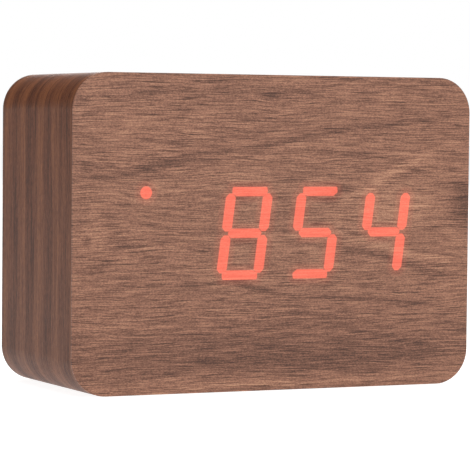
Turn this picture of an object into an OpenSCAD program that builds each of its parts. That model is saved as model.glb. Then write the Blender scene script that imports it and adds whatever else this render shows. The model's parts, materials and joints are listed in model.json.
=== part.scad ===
// A digital alarm clock: a wood-veneered box whose red figures shine through the front sheet.
// Millimetres. X runs left to right, Y from front to rear and Z up.
// The origin is the centre of the underside.

/* [Case] */
// Width of the finished clock
body_w = 100; // [98:0.5:140]
// Height of the finished clock
body_h = 71.5; // [70:0.5:100]
// Depth of the finished clock, front to rear
body_d = 44; // [40:0.5:70]
// Outside radius of the four long corners
corner_r = 8.2; // [6:0.1:10]
// Thickness of each sheet of veneer
veneer_t = 0.6; // [0.4:0.05:0.8]
// Thickness of the milled board at the sides, without veneer
wall_t = 5; // [4.2:0.1:6]
// Thickness of the milled board behind the front sheet
face_t = 4; // [3.4:0.1:6]
// Width of the wooden rim round the rear cover
rim_w = 3.2; // [2.4:0.1:4]
// Radius of the blocks that take the cover screws
post_r = 4.2; // [3.4:0.1:5]
// Length of the blocks that take the cover screws
post_l = 14; // [12:0.5:18]
// Distance from the outside of the body to the middle of a screw block
post_inset = 9.8; // [9:0.1:12]

/* [Display] */
// Distance between the centre lines of two level bars of a figure
digit_row = 9.4; // [8:0.1:12]
// Distance between the centre lines of a figure's upright bars
digit_col = 9.2; // [8:0.1:12]
// Distance from one figure to the next
digit_pitch = 17.8; // [16:0.1:22]
// Lean of the figures to the right, in degrees
digit_lean = 7.5; // [0:0.5:12]
// Thickness of a level bar
level_t = 2.15; // [1.6:0.05:2.6]
// Thickness of an upright bar
upright_t = 2.4; // [1.6:0.05:2.8]
// Wall of the mask between two bars
bar_gap = 0.3; // [0.2:0.05:0.6]
// Distance from the middle of the face to the middle of the row of figures
display_shift = 0.7; // [0:0.1:1]
// Diameter of the alarm dot
dot_d = 2.9; // [2:0.1:4]
// Distance from the first figure's middle to the alarm dot
dot_left = 6.5; // [6:0.1:8]
// Height of the alarm dot above the figures' middle
dot_up = 9.2; // [4:0.1:10]
// Diameter of the two colon lights
colon_d = 2.2; // [1.4:0.1:3]
// Board left round the lights before the window's edge
light_margin = 1.6; // [1:0.1:2]
// Width of the mask's flange behind the front board
flange_w = 5; // [4:0.1:6]
// Thickness of the mask's flange
flange_t = 2; // [1.5:0.1:3]
// Thickness of the light-spreading film
film_t = 0.3; // [0.2:0.05:0.5]

/* [Rear cover] */
// Thickness of the rear cover
cover_t = 2.4; // [2.2:0.05:3]
// Depth of the cover below the rim
cover_sink = 0.4; // [0.3:0.05:0.8]
// Thickness of the battery door
door_t = 1.8; // [1.4:0.05:2]
// Width of the step that the battery door rests on
door_step = 1.2; // [1:0.05:1.3]
// Distance from the underside of the clock to the lower edge of the battery door
door_up = 8.5; // [8.2:0.1:9]
// Wall of the battery bay
bay_wall = 1.4; // [1.3:0.05:1.8]
// Width of each hook at the foot of the battery door
hook_w = 6; // [4:0.5:8]
// Length of the hooks below the battery door
hook_l = 1.4; // [1:0.1:1.6]
// Thickness of the hooks
hook_t = 1.2; // [1:0.1:1.4]

/* [Battery] */
// Diameter of a battery cell
cell_d = 10.5; // [8.5:0.1:10.6]
// Length of a battery cell with its button
cell_l = 44.5; // [40:0.1:46]
// Length of the squeezed contact springs
spring_l = 3.6; // [3:0.1:5]
// Diameter of a contact spring's wire
spring_wire = 0.5; // [0.4:0.05:0.7]
// Thickness of the contact plates
contact_t = 0.4; // [0.3:0.05:0.5]

/* [Controls] */
// Diameter of a button
key_d = 6.4; // [5:0.1:8]
// Distance from one button to the next
key_pitch = 11.5; // [10.5:0.1:12]
// Height of a button above the cover
key_up = 0.35; // [0.2:0.05:0.4]
// Travel of a button
key_travel = 0.3; // [0.2:0.05:0.4]
// Width of a switch body
switch_w = 6; // [5:0.1:6.2]
// Height of a switch body
switch_h = 3.5; // [3:0.1:3.8]
// Diameter of a switch's plunger
plunger_d = 3.4; // [3:0.1:3.5]
// Width of the control board
board_w = 68; // [66:0.5:70]
// Height of the control board
board_h = 18; // [17:0.5:19]
// Thickness of both circuit boards
board_t = 1.6; // [1:0.1:1.8]
// Distance from the rear cover to the control board
board_gap = 6.5; // [6.2:0.1:7.5]
// Distance from the middle of the clock to the power socket
socket_x = 25.5; // [25:0.5:28]
// Distance from the middle of the clock to the sounder
buzzer_x = 26; // [26:0.5:27]
// Diameter of the sounder
buzzer_d = 12; // [9:0.5:12]

/* [Fits] */
// Gap between parts that drop into an opening
seat_gap = 0.15; // [0.1:0.05:0.25]
// Gap round a button in its hole
key_gap = 0.15; // [0.1:0.05:0.25]
// Radial gap between a plunger and its switch body
plunger_gap = 0.05; // [0.02:0.01:0.1]
// Radial gap between a screw and its hole
screw_gap = 0.05; // [0.02:0.01:0.1]
// Gap round a battery cell
cell_gap = 0.4; // [0.3:0.05:0.6]

/* [Hidden] */
$fn = 64;
eps = 0.01;

// Planes across the depth, from front to rear.
front_y = -body_d / 2;
rear_y = body_d / 2;
core_y = front_y + veneer_t;
pocket_y = core_y + face_t;
film_y = core_y + film_t;
display_board_y = pocket_y + flange_t;
display_rear_y = display_board_y + board_t;
cover_outer_y = rear_y - cover_sink;
cover_inner_y = cover_outer_y - cover_t;
control_rear_y = cover_inner_y - board_gap;
control_front_y = control_rear_y - board_t;
door_inner_y = cover_outer_y - door_t;
core_rear_y = rear_y - veneer_t;

// Insets from the outside of the body to each nested outline.
pocket_inset = veneer_t + wall_t;
cover_inset = rim_w + seat_gap;
middle_z = body_h / 2;

// The window and what fills it.
digit_h = 2 * digit_row + level_t;
window_w = 2 * (1.5 * digit_pitch + dot_left + dot_d / 2 + light_margin);
window_h = digit_h + 2 * light_margin;
window_r = 1;
panel_w = window_w + 2 * flange_w;
panel_h = window_h + 2 * flange_w;
panel_hole_inset = 2.6;
bar_tip = 0.42;
led_size = [1.5, 0.8, 0.7];

// The battery bay, its door and its cells.
cell_count = 3;
bay_w = cell_l + spring_l + 2 * contact_t;
bay_h = cell_count * cell_d + (cell_count + 1) * cell_gap;
door_z = door_up;
bay_z = door_z + door_step;
door_w = bay_w + 2 * door_step;
door_h = bay_h + 2 * door_step;
cell_y = door_inner_y - cell_gap - cell_d / 2;
bay_floor_y = cell_y - cell_d / 2 - cell_gap / 2;
bay_top_z = bay_z + bay_h + bay_wall;
door_r = 1;
hook_x = door_w / 2 - hook_w;
button_d = 3.8;
button_l = 0.9;
contact_w = 6.5;
tab_w = 3;
tab_l = bay_wall + 2;
spring_turns = 3;

// The controls: their row lies midway between the battery bay and the top of the pocket.
pocket_top_z = body_h - pocket_inset;
row_z = (bay_top_z + pocket_top_z) / 2;
key_flange_t = 1;
key_flange_w = 0.9;
key_stem_d = 3;
key_inner_y = cover_inner_y - 0.1;
switch_y = control_rear_y + switch_h;
plunger_top_y = switch_y + 0.8;
plunger_foot = 0.8;
switch_well = plunger_foot + key_travel + 0.2;
post_d = 5;
post_dx = 17.6;
post_dz = 5.7;

// Screws.
core_d = 1.9;
cover_core_d = 2.2;
pan_d = 3.6;
pan_h = 1.3;
countersunk_d = 4.4;
countersunk_h = (countersunk_d - cover_core_d) / 2;
cover_screw_l = 12;
panel_screw_l = board_t + flange_t + face_t - 1;
board_screw_l = board_t + 4.5;

// Micro USB socket, standing on the control board.
usb_w = 7.6;
usb_h = 2.9;
usb_skin = 0.3;
usb_top_y = cover_outer_y - 0.7;

// Points between two levels on the Y axis, carrying a flat outline drawn in X and Z.
module slab(y0, y1) {
    translate([0, y1, 0])
        rotate([90, 0, 0])
            linear_extrude(height = y1 - y0)
                children();
}

module rod_y(d, y0, y1) {
    translate([0, y1, 0])
        rotate([90, 0, 0])
            cylinder(d = d, h = y1 - y0);
}

module rounded_rect(w, h, r) {
    square([w - 2 * r, h], center = true);
    square([w, h - 2 * r], center = true);
    for (x = [-1, 1], z = [-1, 1])
        translate([x * (w / 2 - r), z * (h / 2 - r)])
            circle(r = r);
}

module body_outline(inset) {
    translate([0, middle_z])
        rounded_rect(body_w - 2 * inset, body_h - 2 * inset, corner_r - min(inset, corner_r - 1));
}

module ring_outline(inset) {
    difference() {
        body_outline(0);
        body_outline(inset);
    }
}

// The four places of the cover screws, and of the display board's screws.
module at_posts() {
    for (x = [-1, 1], z = [-1, 1])
        translate([x * (body_w / 2 - post_inset), 0, middle_z + z * (body_h / 2 - post_inset)])
            children();
}

module at_panel_holes() {
    for (x = [-1, 1], z = [-1, 1])
        translate([
            display_shift + x * (panel_w / 2 - panel_hole_inset),
            0,
            middle_z + z * (panel_h / 2 - panel_hole_inset),
        ])
            children();
}

module at_board_posts() {
    for (x = [-1, 1], z = [-1, 1])
        translate([x * post_dx, 0, row_z + z * post_dz])
            children();
}

// A screw block grows out of the pocket's corner.
module post_outline() {
    reach = post_inset - pocket_inset + 1;
    for (x = [-1, 1], z = [-1, 1])
        translate([x * (body_w / 2 - post_inset), middle_z + z * (body_h / 2 - post_inset)]) {
            circle(r = post_r);
            translate([x * reach / 2, 0])
                square([reach, 2 * post_r], center = true);
            translate([0, z * reach / 2])
                square([2 * post_r, reach], center = true);
        }
}

module window_outline(w, h) {
    translate([display_shift, middle_z])
        rounded_rect(w, h, window_r);
}

// One bar of a figure, lying along X, with blunt pointed ends.
module bar(length, thick) {
    half = length / 2;
    tip = thick * bar_tip;
    polygon([
        [-half, -thick * 0.14], [-half + tip, -thick / 2],
        [half - tip, -thick / 2], [half, -thick * 0.14],
        [half, thick * 0.14], [half - tip, thick / 2],
        [-half + tip, thick / 2], [-half, thick * 0.14],
    ]);
}

// Places children at the middle of each of a figure's seven bars: first the level ones.
module at_level_bars() {
    for (row = [-1, 0, 1])
        translate([row * digit_row * tan(digit_lean), row * digit_row])
            children();
}

module at_upright_bars() {
    for (col = [-1, 1], row = [-1, 1])
        translate([
            col * digit_col / 2 + row * digit_row / 2 * tan(digit_lean),
            row * digit_row / 2,
        ])
            children();
}

module digit_outline() {
    level_l = digit_col - 2 * bar_gap;
    upright_l = digit_row - 2 * bar_gap;
    at_level_bars()
        bar(level_l, level_t);
    at_upright_bars()
        multmatrix([[1, tan(digit_lean), 0, 0], [0, 1, 0, 0], [0, 0, 1, 0], [0, 0, 0, 1]])
            rotate(90)
                bar(upright_l, upright_t);
}

module at_digits() {
    for (i = [0 : 3])
        translate([display_shift + (i - 1.5) * digit_pitch, middle_z])
            children();
}

module at_round_lights() {
    translate([display_shift - 1.5 * digit_pitch - dot_left, middle_z + dot_up])
        children(0);
    for (row = [-1, 1])
        translate([display_shift + row * digit_row / 2 * tan(digit_lean), middle_z + row * digit_row / 2])
            children(1);
}

module light_outline() {
    at_digits()
        digit_outline();
    at_round_lights() {
        circle(d = dot_d);
        circle(d = colon_d);
    }
}

// A pan-head screw pointing forward, its head's seat at y = 0.
module pan_screw(length) {
    difference() {
        union() {
            rod_y(pan_d, 0, pan_h);
            rod_y(core_d, -length, 0);
        }
        cross_recess(pan_d * 0.6, 0.45, pan_h * 0.4, pan_h);
    }
}

module cross_recess(reach, width, y0, y1) {
    for (turn = [0, 90])
        rotate([0, turn, 0])
            translate([-reach / 2, y0, -width / 2])
                cube([reach, y1 - y0 + eps, width]);
}

// A round tube along a path. ref is a direction that the path never runs along.
function unit(v) = v / norm(v);
function heading(path, i) = unit(path[min(i + 1, len(path) - 1)] - path[max(i - 1, 0)]);
function ring(path, i, r, sides, ref) =
    let (
        along = heading(path, i),
        side = unit(cross(along, ref)),
        up = cross(side, along)
    )
    [for (k = [0 : sides - 1]) path[i] + r * (cos(360 * k / sides) * side + sin(360 * k / sides) * up)];

module tube(path, d, sides, ref) {
    rings = len(path);
    points = [for (i = [0 : rings - 1]) each ring(path, i, d / 2, sides, ref)];
    walls = [
        for (i = [0 : rings - 2], k = [0 : sides - 1])
            let (
                here = i * sides + k,
                beside = i * sides + (k + 1) % sides
            )
                each [[here, beside, beside + sides], [here, beside + sides, here + sides]]
    ];
    first_cap = [[for (k = [sides - 1 : -1 : 0]) k]];
    last_cap = [[for (k = [0 : sides - 1]) (rings - 1) * sides + k]];
    polyhedron(points = points, faces = concat(walls, first_cap, last_cap), convexity = 6);
}

// A smooth curve through four control points.
function bezier(p, t) =
    pow(1 - t, 3) * p[0] + 3 * pow(1 - t, 2) * t * p[1] + 3 * (1 - t) * t * t * p[2] + pow(t, 3) * p[3];
function curve(p, steps) = [for (i = [0 : steps]) bezier(p, i / steps)];
function curve_heading(p, t) =
    unit(pow(1 - t, 2) * (p[1] - p[0]) + 2 * (1 - t) * t * (p[2] - p[1]) + t * t * (p[3] - p[2]));

// ---------------------------------------------------------------- case

module wood_case() {
    color("burlywood")
        difference() {
            slab(core_y, core_rear_y)
                body_outline(veneer_t);
            slab(cover_inner_y, rear_y)
                body_outline(rim_w);
            slab(pocket_y, cover_inner_y - post_l)
                body_outline(pocket_inset);
            slab(cover_inner_y - post_l - eps, cover_inner_y + eps)
                difference() {
                    body_outline(pocket_inset);
                    post_outline();
                }
            slab(front_y, pocket_y + eps)
                window_outline(window_w, window_h);
            // The display passes through here from the rear, however wide it is.
            slab(pocket_y, cover_inner_y + eps)
                window_outline(panel_w + 2 * seat_gap, panel_h + 2 * seat_gap);
            at_posts()
                rod_y(cover_core_d + 2 * screw_gap, cover_inner_y - cover_screw_l, cover_inner_y + eps);
            at_panel_holes()
                rod_y(core_d + 2 * screw_gap, core_y + 1 - screw_gap, pocket_y + eps);
        }
}

module front_veneer() {
    color("saddlebrown")
        slab(front_y, core_y)
            body_outline(0);
}

module side_veneer() {
    color("sienna")
        slab(core_y, core_rear_y)
            ring_outline(veneer_t);
}

module rear_veneer() {
    color("sienna")
        slab(core_rear_y, rear_y)
            ring_outline(rim_w);
}

// ------------------------------------------------------------- display

module diffuser_film() {
    color("whitesmoke")
        slab(core_y, film_y)
            window_outline(window_w - 2 * seat_gap, window_h - 2 * seat_gap);
}

module segment_mask() {
    color("ivory")
        difference() {
            union() {
                slab(film_y, pocket_y + eps)
                    window_outline(window_w - 2 * seat_gap, window_h - 2 * seat_gap);
                slab(pocket_y, display_board_y)
                    window_outline(panel_w, panel_h);
            }
            slab(film_y - eps, display_board_y + eps)
                light_outline();
            at_panel_holes()
                rod_y(core_d + 2 * screw_gap, pocket_y - eps, display_board_y + eps);
        }
}

module display_board() {
    color("darkgreen")
        difference() {
            slab(display_board_y, display_rear_y)
                window_outline(panel_w, panel_h);
            at_panel_holes()
                rod_y(core_d + 2 * screw_gap, display_board_y - eps, display_rear_y + eps);
        }
}

module led() {
    translate([0, -led_size[2] / 2, 0])
        cube([led_size[0], led_size[2], led_size[1]], center = true);
}

module segment_leds() {
    color("mistyrose")
        translate([0, display_board_y, 0])
            for (i = [0 : 3])
                translate([display_shift + (i - 1.5) * digit_pitch, 0, middle_z]) {
                    for (row = [-1, 0, 1])
                        translate([row * digit_row * tan(digit_lean), 0, row * digit_row])
                            led();
                    for (col = [-1, 1], row = [-1, 1])
                        translate([
                            col * digit_col / 2 + row * digit_row / 2 * tan(digit_lean),
                            0,
                            row * digit_row / 2,
                        ])
                            rotate([0, 90 + digit_lean, 0])
                                led();
                }
    color("mistyrose")
        translate([0, display_board_y, 0]) {
            translate([display_shift - 1.5 * digit_pitch - dot_left, 0, middle_z + dot_up])
                led();
            for (row = [-1, 1])
                translate([
                    display_shift + row * digit_row / 2 * tan(digit_lean),
                    0,
                    middle_z + row * digit_row / 2,
                ])
                    led();
        }
}

// A small-outline chip facing the rear, its board at y = 0, with pins along its long sides.
module chip(w, h, pins) {
    body_t = 1.5;
    stand = 0.1;
    pin_w = 0.4;
    pin_reach = 1.1;
    pin_pitch = 1.27;
    translate([-w / 2, stand, -h / 2])
        cube([w, body_t, h]);
    for (i = [0 : pins - 1], side = [-1, 1])
        translate([(i - (pins - 1) / 2) * pin_pitch - pin_w / 2, 0, side < 0 ? -h / 2 - pin_reach : h / 2 - eps])
            cube([pin_w, stand + 0.5, pin_reach + eps]);
}

module driver_chips() {
    chip_w = 10;
    chip_h = 4;
    color("dimgray")
        for (side = [-1, 1])
            translate([display_shift + side * digit_pitch, display_rear_y, middle_z - 6])
                chip(chip_w, chip_h, 7);
}

module display_resistors() {
    size = [2, 0.6, 1.25];
    pitch = 3.2;
    count = 8;
    color("darkslategray")
        for (i = [0 : count - 1])
            translate([display_shift + (i - (count - 1) / 2) * pitch - size[0] / 2, display_rear_y, middle_z + 3])
                cube(size);
}

module display_screws() {
    color("silver")
        at_panel_holes()
            translate([0, display_rear_y, 0])
                pan_screw(panel_screw_l);
}

// ---------------------------------------------------------- rear cover

module at_keys() {
    for (i = [-1, 0, 1])
        translate([-i * key_pitch, 0, row_z])
            children();
}

module bay_outline(grow) {
    translate([0, bay_z + bay_h / 2])
        square([bay_w + 2 * grow, bay_h + 2 * grow], center = true);
}

module door_outline(grow) {
    translate([0, door_z + door_h / 2])
        rounded_rect(door_w + 2 * grow, door_h + 2 * grow, door_r + grow);
}

module hook_notch(x) {
    sweep = norm([door_t + hook_t, hook_l]) + seat_gap;
    translate([
        x - hook_w / 2 - seat_gap,
        cover_outer_y - sweep,
        door_z - hook_l - seat_gap,
    ])
        cube([
            hook_w + 2 * seat_gap,
            sweep - door_t + seat_gap / 2,
            hook_l + seat_gap + door_step + eps,
        ]);
}

module buzzer_grille() {
    hole_d = 1.3;
    ring_r = 2.9;
    rod_y(hole_d, cover_inner_y - eps, cover_outer_y + eps);
    for (turn = [0 : 60 : 300])
        rotate([0, turn, 0])
            translate([ring_r, 0, 0])
                rod_y(hole_d, cover_inner_y - eps, cover_outer_y + eps);
}

module thermistor_slots() {
    slot = [3.4, 1];
    pitch = 2.2;
    for (i = [-1, 0, 1])
        translate([-slot[0] / 2, cover_inner_y - eps, i * pitch - slot[1] / 2])
            cube([slot[0], cover_t + 2 * eps, slot[1]]);
}

module back_cover() {
    thumb_d = 14;
    thumb_deep = 1.1;
    color("dimgray")
        difference() {
            union() {
                slab(cover_inner_y, cover_outer_y)
                    body_outline(cover_inset);
                slab(bay_floor_y - bay_wall, cover_inner_y + eps)
                    bay_outline(bay_wall);
                at_board_posts()
                    rod_y(post_d, control_rear_y, cover_inner_y + eps);
            }
            slab(bay_floor_y, cover_outer_y + eps)
                bay_outline(0);
            slab(door_inner_y, cover_outer_y + eps)
                door_outline(seat_gap);
            for (x = [-hook_x, hook_x])
                hook_notch(x);
            contact_slots();
            at_keys()
                rod_y(key_d + 2 * key_gap, cover_inner_y - eps, cover_outer_y + eps);
            at_posts()
                translate([0, cover_outer_y, 0]) {
                    rod_y(cover_core_d + 4 * screw_gap, -cover_t - eps, eps);
                    rotate([90, 0, 0])
                        translate([0, 0, -eps])
                            cylinder(
                                d1 = countersunk_d + 2 * screw_gap + 2 * eps,
                                d2 = cover_core_d,
                                h = countersunk_h + screw_gap + 2 * eps
                            );
                }
            at_board_posts()
                rod_y(core_d + 2 * screw_gap, control_rear_y - eps, control_rear_y + board_screw_l - board_t + 0.3);
            translate([-socket_x, 0, row_z]) {
                slab(cover_inner_y - eps, cover_outer_y + eps)
                    rounded_rect(usb_w + 0.8, usb_h + 0.8, 1);
                slab(cover_outer_y - 1.2, cover_outer_y + eps)
                    rounded_rect(usb_w + 4, usb_h + 4, 2);
            }
            translate([buzzer_x, 0, row_z])
                buzzer_grille();
            translate([microphone_x, 0, microphone_z])
                rod_y(1.2, cover_inner_y - eps, cover_outer_y + eps);
            translate([thermistor_x, 0, thermistor_z])
                thermistor_slots();
            translate([0, cover_outer_y, door_z + door_h])
                intersection() {
                    rod_y(thumb_d, -thumb_deep, eps);
                    translate([-thumb_d / 2, -thumb_deep, -eps])
                        cube([thumb_d, thumb_deep + eps, 3]);
                }
        }
}

// A countersunk screw pointing forward, its flat head's top at y = 0.
module cover_screws() {
    color("darkgray")
        at_posts()
            translate([0, cover_outer_y, 0])
                difference() {
                    union() {
                        rod_y(cover_core_d, -cover_screw_l, -countersunk_h);
                        rotate([90, 0, 0])
                            cylinder(d1 = countersunk_d, d2 = cover_core_d, h = countersunk_h + eps);
                    }
                    cross_recess(countersunk_d * 0.6, 0.55, -0.8, 0);
                }
}

module battery_door() {
    rib = [9, 0.3, 0.7];
    rib_pitch = 1.6;
    slit_l = 8;
    slit_w = 0.8;
    tongue_w = 11;
    color("dimgray")
        difference() {
            union() {
                slab(door_inner_y, cover_outer_y)
                    door_outline(0);
                for (x = [-hook_x, hook_x])
                    translate([x - hook_w / 2, door_inner_y - hook_t, door_z - hook_l])
                        cube([hook_w, hook_t + eps, hook_l + door_step + 1.4]);
                for (i = [0 : 2])
                    translate([-rib[0] / 2, cover_outer_y - eps, door_z + door_h - 2.2 - i * rib_pitch])
                        cube([rib[0], rib[1] + eps, rib[2]]);
            }
            for (side = [-1, 1])
                translate([
                    side * tongue_w / 2 - slit_w / 2,
                    door_inner_y - eps,
                    door_z + door_h - slit_l,
                ])
                    cube([slit_w, door_t + 2 * eps, slit_l + eps]);
        }
}

// ------------------------------------------------------------- battery

// Cells lie along X. Every second one is turned end for end.
function cell_z(i) = bay_z + cell_gap + cell_d / 2 + i * (cell_d + cell_gap);
function cell_way(i) = i % 2 == 0 ? 1 : -1;
plus_x = bay_w / 2 - contact_t;
minus_x = -bay_w / 2 + contact_t + spring_l;

module at_cells() {
    for (i = [0 : cell_count - 1])
        translate([0, cell_y, cell_z(i)])
            scale_x(cell_way(i))
                children();
}

module scale_x(way) {
    if (way < 0)
        mirror([1, 0, 0])
            children();
    else
        children();
}

module battery_cells() {
    shoulder = 0.6;
    color("goldenrod")
        at_cells()
            translate([minus_x, 0, 0])
                rotate([0, 90, 0]) {
                    cylinder(d = cell_d, h = cell_l - button_l - shoulder);
                    translate([0, 0, cell_l - button_l - shoulder - eps])
                        cylinder(d1 = cell_d, d2 = cell_d - 2 * shoulder, h = shoulder + eps);
                    cylinder(d = button_d, h = cell_l);
                }
}

// Conical springs press on the cells' flat ends.
function spring_point(t) =
    let (
        turn = 360 * spring_turns * t,
        radius = 3.4 - 1.5 * t,
        run = spring_wire / 2 + 0.02 + t * (spring_l - spring_wire - 0.04)
    )
    [run, radius * cos(turn), radius * sin(turn)];

module battery_springs() {
    steps_a_turn = 12;
    steps = spring_turns * steps_a_turn;
    path = [for (i = [0 : steps]) spring_point(i / steps)];
    color("silver")
        at_cells()
            translate([minus_x - spring_l, 0, 0])
                tube(path, spring_wire, 6, [1, 0, 0]);
}

// Plates at both ends of the bay. Two of them join neighbouring cells, and two end in tabs.
module contact_plate(x, z0, z1) {
    translate([x, cell_y - contact_w / 2, z0 - contact_w / 2])
        cube([contact_t, contact_w, z1 - z0 + contact_w]);
}

module battery_contacts() {
    right_x = bay_w / 2 - contact_t;
    left_x = -bay_w / 2;
    color("gainsboro") {
        contact_plate(right_x, cell_z(0), cell_z(0));
        contact_plate(right_x, cell_z(1), cell_z(2));
        contact_plate(left_x, cell_z(0), cell_z(1));
        contact_plate(left_x, cell_z(2), cell_z(2));
        contact_tab(bay_w / 2 - eps, cell_z(0));
        contact_tab(left_x - tab_l, cell_z(2));
    }
}

module contact_tab(x, z) {
    translate([x, cell_y - contact_t / 2, z - tab_w / 2])
        cube([tab_l + eps, contact_t, tab_w]);
}

module contact_slots() {
    gap = 0.2;
    for (place = [[1, cell_z(0)], [-1, cell_z(2)]])
        translate([place[0] * (bay_w / 2 + bay_wall / 2), cell_y, place[1]])
            cube([bay_wall + 2, contact_t + 2 * gap, tab_w + 2 * gap], center = true);
}

// Insulated leads from the tabs up to the control board.
lead_d = 1.3;
lead_pad_z = row_z - board_h / 2 + 1.2;
lead_out = bay_w / 2 + tab_l + lead_d / 2;

module lead(x_way, tab_z) {
    path = curve([
        [x_way * lead_out, cell_y, tab_z],
        [x_way * lead_out, cell_y, (tab_z + lead_pad_z) / 2],
        [x_way * 30, control_front_y - 8, lead_pad_z],
        [x_way * 30, control_front_y - 1, lead_pad_z],
    ], 14);
    // The last millimetre runs straight into the board.
    last = [x_way * 30, control_front_y, lead_pad_z];
    tube(concat(path, [last]), lead_d, 8, [0.3, 0.2, -1]);
}

module positive_lead() {
    color("firebrick")
        lead(1, cell_z(0));
}

module negative_lead() {
    color("black")
        lead(-1, cell_z(2));
}

// ------------------------------------------------------------ controls

module control_board() {
    color("darkgreen")
        difference() {
            slab(control_front_y, control_rear_y)
                translate([0, row_z])
                    rounded_rect(board_w, board_h, 1);
            at_board_posts()
                rod_y(core_d + 2 * screw_gap, control_front_y - eps, control_rear_y + eps);
        }
}

module board_screws() {
    color("silver")
        at_board_posts()
            translate([0, control_front_y, 0])
                mirror([0, 1, 0])
                    pan_screw(board_screw_l);
}

module switch_bodies() {
    color("dimgray")
        at_keys()
            difference() {
                translate([-switch_w / 2, control_rear_y, -switch_w / 2])
                    cube([switch_w, switch_h, switch_w]);
                rod_y(plunger_d + 2 * plunger_gap, switch_y - switch_well, switch_y + eps);
            }
}

// A button's cap with its flange and stem, and a sunken mark of so many sides on its top.
module key_cap(mark_sides, mark_turn) {
    mark_r = 1.6;
    mark_deep = 0.25;
    edge = 0.3;
    top_y = cover_outer_y + key_up;
    difference() {
        union() {
            rod_y(key_d, key_inner_y - key_flange_t, top_y - edge);
            translate([0, top_y, 0])
                rotate([90, 0, 0])
                    cylinder(d1 = key_d - 2 * edge, d2 = key_d, h = edge);
            rod_y(key_d + 2 * key_flange_w, key_inner_y - key_flange_t, key_inner_y);
            rod_y(key_stem_d, plunger_top_y, key_inner_y - key_flange_t + eps);
        }
        slab(top_y - mark_deep, top_y + eps)
            rotate(mark_turn)
                circle(r = mark_r, $fn = mark_sides);
    }
}

module set_button() {
    color("gray")
        translate([key_pitch, 0, row_z])
            key_cap(4, 45);
}

module up_button() {
    color("gray")
        translate([0, 0, row_z])
            key_cap(3, 90);
}

module down_button() {
    color("gray")
        translate([-key_pitch, 0, row_z])
            key_cap(3, -90);
}

module plunger() {
    color("white")
        rod_y(plunger_d, switch_y - plunger_foot, plunger_top_y);
}

module set_plunger() {
    translate([key_pitch, 0, row_z])
        plunger();
}

module up_plunger() {
    translate([0, 0, row_z])
        plunger();
}

module down_plunger() {
    translate([-key_pitch, 0, row_z])
        plunger();
}

module usb_outline(inset) {
    w = usb_w / 2 - inset;
    h = usb_h / 2 - inset;
    slope = 0.9;
    polygon([
        [-w, h], [w, h], [w, 0.1], [w - slope, -h], [-w + slope, -h], [-w, 0.1],
    ]);
}

module usb_socket() {
    color("silver")
        translate([-socket_x, 0, row_z])
            slab(control_rear_y, usb_top_y)
                difference() {
                    usb_outline(0);
                    usb_outline(usb_skin);
                }
}

module usb_tongue() {
    block_h = 3;
    tongue = [5.4, 0.7];
    color("black")
        translate([-socket_x, 0, row_z]) {
            slab(control_rear_y, control_rear_y + block_h)
                usb_outline(usb_skin + 0.03);
            translate([-tongue[0] / 2, control_rear_y + block_h - eps, 0])
                cube([tongue[0], usb_top_y - control_rear_y - block_h - 0.8, tongue[1]]);
        }
}

module buzzer() {
    buzzer_h = board_gap - 0.8;
    mouth_d = 2.2;
    color("black")
        translate([buzzer_x, 0, row_z])
            difference() {
                rod_y(buzzer_d, control_rear_y, control_rear_y + buzzer_h);
                rod_y(mouth_d, control_rear_y + buzzer_h - 1, control_rear_y + buzzer_h + eps);
            }
}

microphone_x = -socket_x + 8;
microphone_z = row_z - 0.5;
microphone_d = 4;
thermistor_x = buzzer_x - buzzer_d / 2 - 2.5;
thermistor_z = row_z;

module microphone() {
    can_h = 2.7;
    color("silver")
        translate([microphone_x, 0, microphone_z])
            difference() {
                rod_y(microphone_d, control_rear_y, control_rear_y + can_h);
                rod_y(0.8, control_rear_y + can_h - 0.4, control_rear_y + can_h + eps);
            }
}

module thermistor() {
    bead_d = 2.4;
    leg_d = 0.5;
    leg_l = 2.6;
    color("black")
        translate([thermistor_x, control_rear_y, thermistor_z]) {
            for (side = [-1, 1])
                translate([side * 0.6, 0, 0])
                    rod_y(leg_d, 0, leg_l + bead_d / 2);
            translate([0, leg_l + bead_d / 2, 0])
                sphere(d = bead_d);
        }
}

// Parts on the control board's front side hang from it, so they are the rear ones mirrored.
module on_front(x, z) {
    translate([x, control_front_y, row_z + z])
        mirror([0, 1, 0])
            children();
}

module control_chip() {
    color("dimgray")
        on_front(-9, 1.5)
            chip(13, 7.5, 10);
}

module clock_crystal() {
    can_d = 3;
    can_l = 8;
    color("silver")
        on_front(1.5, -7.5)
            translate([0, can_d / 2, 0])
                cylinder(d = can_d, h = can_l);
}

module capacitors() {
    can_d = 5;
    can_h = 7;
    color("midnightblue")
        for (x = [-24.5, -30.5])
            on_front(x, 2.5)
                rod_y(can_d, 0, can_h);
}

coin_d = 12.5;
coin_t = 2;
holder_w = 13.9;
holder_t = 3.4;
coin_x = board_w / 2 - holder_w / 2 - 0.35;
coin_up = board_h / 2 - holder_w / 2 - 0.5;

module backup_holder() {
    pocket_deep = coin_t + 0.5;
    color("black")
        on_front(coin_x, coin_up)
            difference() {
                translate([-holder_w / 2, 0, -holder_w / 2])
                    cube([holder_w, holder_t, holder_w]);
                rod_y(coin_d + 2 * seat_gap, holder_t - pocket_deep, holder_t + eps);
                translate([-coin_d / 4, holder_t - pocket_deep, 0])
                    cube([coin_d / 2, pocket_deep + eps, holder_w]);
            }
}

module backup_cell() {
    step = 0.5;
    color("silver")
        on_front(coin_x, coin_up) {
            rod_y(coin_d - 2 * step, holder_t - coin_t - 0.5, holder_t - 0.5 - coin_t + step);
            rod_y(coin_d, holder_t - 0.5 - coin_t + step - eps, holder_t - 0.5);
        }
}

// The ribbon crosses from the display board to the control board above the battery bay.
header_w = 12.5;
header_h = 4.6;
header_t = 3;
ribbon_w = 10;
ribbon_t = 0.9;
display_header_z = middle_z + panel_h / 2 - 6;
control_header_z = row_z + 4;
ribbon_x = 8;

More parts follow.
